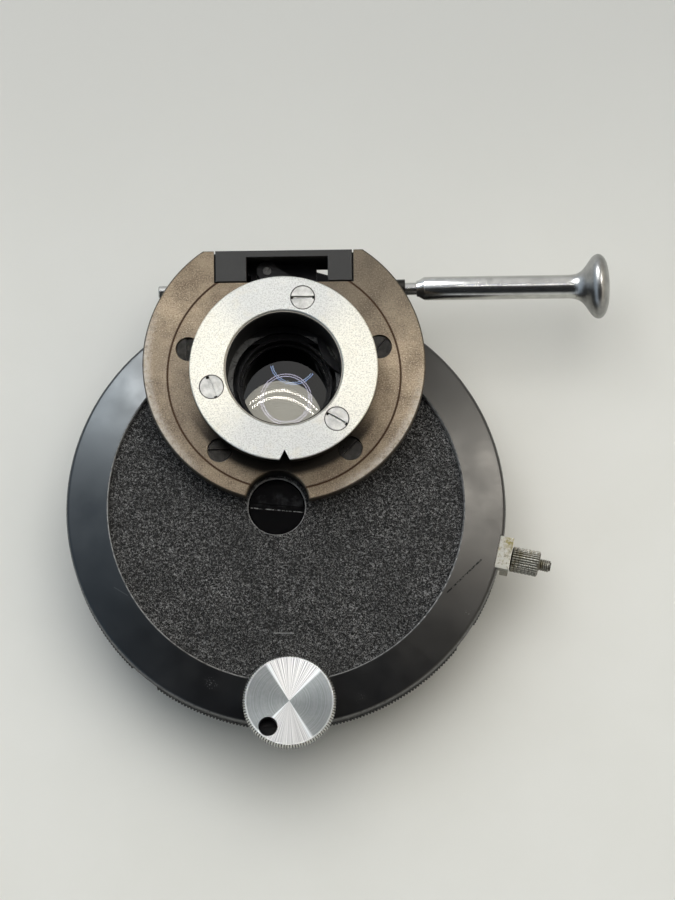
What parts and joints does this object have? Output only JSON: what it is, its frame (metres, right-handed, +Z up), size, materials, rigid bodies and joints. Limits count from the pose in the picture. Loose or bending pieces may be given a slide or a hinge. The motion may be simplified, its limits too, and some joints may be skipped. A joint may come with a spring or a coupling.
{
  "type": "optical turret attachment",
  "caption": "Geared optical turret with a round dovetail, leathered cover, drive knob, lock screw and a push-pull rod that swings in a thin prism.",
  "frame": {"origin": "on the light path, at the lower seat face", "axes": "+Z up the light path, +X along the rod towards its handle, the turret lies towards -Y"},
  "size_m": [0.1307, 0.1231, 0.0379],
  "materials": {
    "black_lacquer": "satin black lacquer, worn at the edges",
    "leatherette": "black grained leatherette",
    "bronzed_steel": "brown bronzed steel, turned",
    "bare_nickel": "satin nickel, turned",
    "blackened": "matt optical black",
    "grey_steel": "dark oxidised steel",
    "polished_steel": "polished steel",
    "screw_steel": "turned steel screw heads",
    "dark_screws": "blackened screw heads",
    "spun_aluminium": "spun face, knurled edge",
    "worn_nickel": "worn nickel with stains",
    "brass": "plain turned brass",
    "black_rim": "black knurled ring",
    "coated_glass": "coated optical glass",
    "amber_glass": "amber filter glass",
    "spring_steel": "spring wire"
  },
  "bodies": {
    "housing": {"base_cover": "black_lacquer", "lower_flange": "black_lacquer", "flange_screws": "screw_steel", "socket_clamp_screw": "worn_nickel", "lower_window": "coated_glass", "window_retainer": "blackened", "centre_axle": "polished_steel", "axle_washer": "screw_steel", "axle_nut": "worn_nickel", "rear_block": "blackened", "rod_guide_screw": "screw_steel", "rod_bush_left": "dark_screws", "rod_bush_right": "dark_screws", "swing_housing": "blackened", "housing_screws": "dark_screws", "top_cover": "black_lacquer", "leather_inlay": "leatherette", "cover_screws": "dark_screws", "eccentric_plug": "blackened", "dovetail_plate": "bronzed_steel", "plate_screws": "dark_screws", "dovetail_ring": "bare_nickel", "ring_screws": "screw_steel", "bore_tube": "blackened", "stop_bracket": "grey_steel", "bracket_screws": "dark_screws", "detent_spring": "spring_steel", "detent_plug": "dark_screws", "knob_bearing": "blackened", "knob_bearing_screws": "dark_screws", "arm_pivot_screw": "dark_screws", "lock_block": "worn_nickel", "lock_block_screws": "dark_screws"},
    "turret": {"turret_wheel": "blackened", "turret_rim": "black_rim", "rim_screws": "dark_screws", "wheel_bush": "brass", "lens_cell": "blackened", "clear_cell": "blackened", "wedge_cell": "blackened", "filter_cell": "blackened", "station_lens": "coated_glass", "lens_retainer": "blackened", "wedge_prism": "coated_glass", "wedge_retainer": "blackened", "colour_filter": "amber_glass", "filter_retainer": "blackened"},
    "knob": {"drive_knob": "spun_aluminium", "knob_set_screw": "dark_screws", "pinion_shaft": "polished_steel"},
    "push_rod": {"slide_rod": "polished_steel", "rod_handle": "polished_steel"},
    "arm": {"swing_arm": "blackened", "arm_sector": "brass", "swing_prism": "coated_glass", "swing_retainer": "blackened"},
    "click_plunger": {"detent_plunger": "polished_steel"},
    "lock_pad": {"lock_pad": "brass"},
    "lock_screw": {"lock_stud": "worn_nickel", "lock_nut": "worn_nickel"}
  },
  "joints": [
    {"name": "turret_turn", "type": "hinge", "parent": "housing", "child": "turret", "pos_m": [0, -0.031, 0.0166], "axis": [0, 0, 1], "continuous": true},
    {"name": "knob_turn", "type": "hinge", "parent": "housing", "child": "knob", "pos_m": [0.00034, -0.079, 0.025], "axis": [0, 0, 1], "continuous": true},
    {"name": "rod_slide", "type": "slide", "parent": "housing", "child": "push_rod", "axis": [1, 0, 0], "range_m": [-0.00255, 0]},
    {"name": "arm_swing", "type": "hinge", "parent": "housing", "child": "arm", "pos_m": [-0.0039, 0.02735, 0.023], "axis": [0, 0, 1], "range_deg": [-45, 0]},
    {"name": "click_slide", "type": "slide", "parent": "housing", "child": "click_plunger", "axis": [0, 1, 0], "range_m": [-0.0006, 0]},
    {"name": "pad_slide", "type": "slide", "parent": "housing", "child": "lock_pad", "axis": [0.9759, -0.2181, 0], "range_m": [0, 0.001]},
    {"name": "lock_turn", "type": "hinge", "parent": "lock_pad", "child": "lock_screw", "pos_m": [0.05392, -0.04305, 0.0167], "axis": [0.9759, -0.2181, 0], "range_deg": [0, 720]}
  ],
  "couplings": [
    {"joint": "knob_turn", "follows": "turret_turn", "ratio": -11},
    {"joint": "arm_swing", "follows": "rod_slide", "rad_per_m": 307.69},
    {"joint": "lock_turn", "follows": "pad_slide", "rad_per_m": 12566}
  ]
}
